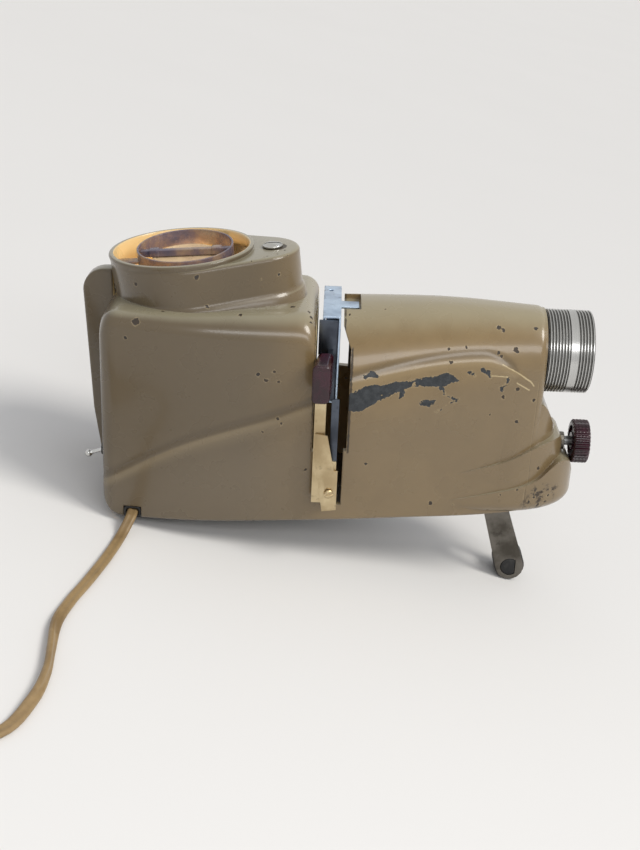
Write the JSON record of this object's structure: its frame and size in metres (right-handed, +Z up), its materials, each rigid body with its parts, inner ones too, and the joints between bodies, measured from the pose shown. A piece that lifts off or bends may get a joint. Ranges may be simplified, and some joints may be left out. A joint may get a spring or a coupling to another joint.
{
  "type": "slide projector",
  "caption": "Cast slide projector with a streamlined stepped housing, open chimney, side slide changer, ribbed focusing barrel, toggle switch, and a folding leg raised by a knurled knob.",
  "frame": {"origin": "centre of the bounding box's underside, measured without the cord, its coil and plug", "axes": "+X towards the lens, +Y away from the slide handle, +Z up; the housing stands nose up on its feet and leg"},
  "size_m": [0.4621, 0.359, 0.1906],
  "materials": {
    "cream_paint": "gloss, worn",
    "steel": "dull",
    "chrome": "bright",
    "aluminium": "satin",
    "brass": "plain",
    "maroon_bakelite": "gloss",
    "black_rubber": "matt",
    "optical_glass": "polished",
    "ceramic": "glazed",
    "cream_cord": "satin"
  },
  "bodies": {
    "root": {"base_plate": "steel", "base_screw_1": "steel", "base_screw_2": "steel", "base_screw_3": "steel", "base_screw_4": "steel", "body_casting": "cream_paint", "condenser_holder": "aluminium", "condenser_lens_front": "optical_glass", "condenser_lens_rear": "optical_glass", "cord": "cream_cord", "cord_coil": "cream_cord", "cord_grommet": "black_rubber", "gate_frame": "steel", "heat_glass": "optical_glass", "lamp_base": "brass", "lamp_bulb": "optical_glass", "lamp_socket": "ceramic", "leg_pivot_pin": "steel", "lens_sleeve": "aluminium", "plug": "black_rubber", "plug_pin_left": "brass", "plug_pin_right": "brass", "rear_foot_left": "black_rubber", "rear_foot_right": "black_rubber", "reflector": "aluminium", "reflector_bracket": "steel", "screw_bush": "brass", "socket_bracket": "steel", "switch_body": "black_rubber", "switch_nut": "chrome"},
    "changer": {"slide_carrier": "steel", "carrier_handle": "maroon_bakelite", "handle_strap": "steel", "handle_bracket": "steel", "bracket_screw": "steel"},
    "baffle": {"baffle_band": "steel", "baffle_crossbar": "steel", "baffle_disc": "steel"},
    "ear_screw": {"chimney_screw": "chrome"},
    "lens": {"lens_cell": "aluminium", "lens_element_front": "optical_glass", "lens_element_rear": "optical_glass", "retaining_ring": "aluminium"},
    "focus_barrel": {"lens_barrel": "aluminium"},
    "switch": {"switch_lever": "chrome"},
    "lift_screw": {"elevation_knob": "maroon_bakelite", "elevation_screw": "steel"},
    "lift_nut": {"trunnion_nut": "brass"},
    "leg": {"leg": "steel", "leg_foot": "black_rubber"}
  },
  "joints": [
    {"name": "changer_slide", "type": "slide", "parent": "root", "child": "changer", "axis": [0, -1, 0], "range_m": [0, 0.056]},
    {"name": "baffle_lift", "type": "slide", "parent": "root", "child": "baffle", "axis": [-0.2161, 0, 0.9764], "range_m": [0, 0.04]},
    {"name": "ear_screw_turn", "type": "hinge", "parent": "root", "child": "ear_screw", "pos_m": [-0.06178, 0.0043, 0.17961], "axis": [-0.3037, 0, 0.9528], "range_deg": [0, 720]},
    {"name": "focus_slide", "type": "slide", "parent": "root", "child": "lens", "axis": [0.9764, 0, 0.2161], "range_m": [0, 0.016]},
    {"name": "focus_turn", "type": "hinge", "parent": "lens", "child": "focus_barrel", "pos_m": [0.11788, 0.0043, 0.15919], "axis": [0.9764, 0, 0.2161], "range_deg": [0, 450.1]},
    {"name": "switch_toggle", "type": "hinge", "parent": "root", "child": "switch", "pos_m": [-0.13185, -0.0227, 0.03346], "axis": [0, 1, 0], "range_deg": [0, 40]},
    {"name": "lift_turn", "type": "hinge", "parent": "root", "child": "lift_screw", "pos_m": [0.15558, 0.0043, 0.10455], "axis": [0.9764, 0, 0.2161], "range_deg": [-3947.27, 0]},
    {"name": "nut_travel", "type": "slide", "parent": "root", "child": "lift_nut", "axis": [0.9764, 0, 0.2161], "range_m": [0, 0.0329]},
    {"name": "leg_fold", "type": "hinge", "parent": "root", "child": "leg", "pos_m": [0.10773, 0.0043, 0.07317], "axis": [0, 1, 0], "range_deg": [0, 78.01]}
  ],
  "couplings": [
    {"joint": "focus_turn", "follows": "focus_slide", "rad_per_m": 490.87},
    {"joint": "nut_travel", "follows": "leg_fold", "m_per_rad": 0.02415},
    {"joint": "lift_turn", "follows": "leg_fold", "ratio": -50.58}
  ]
}
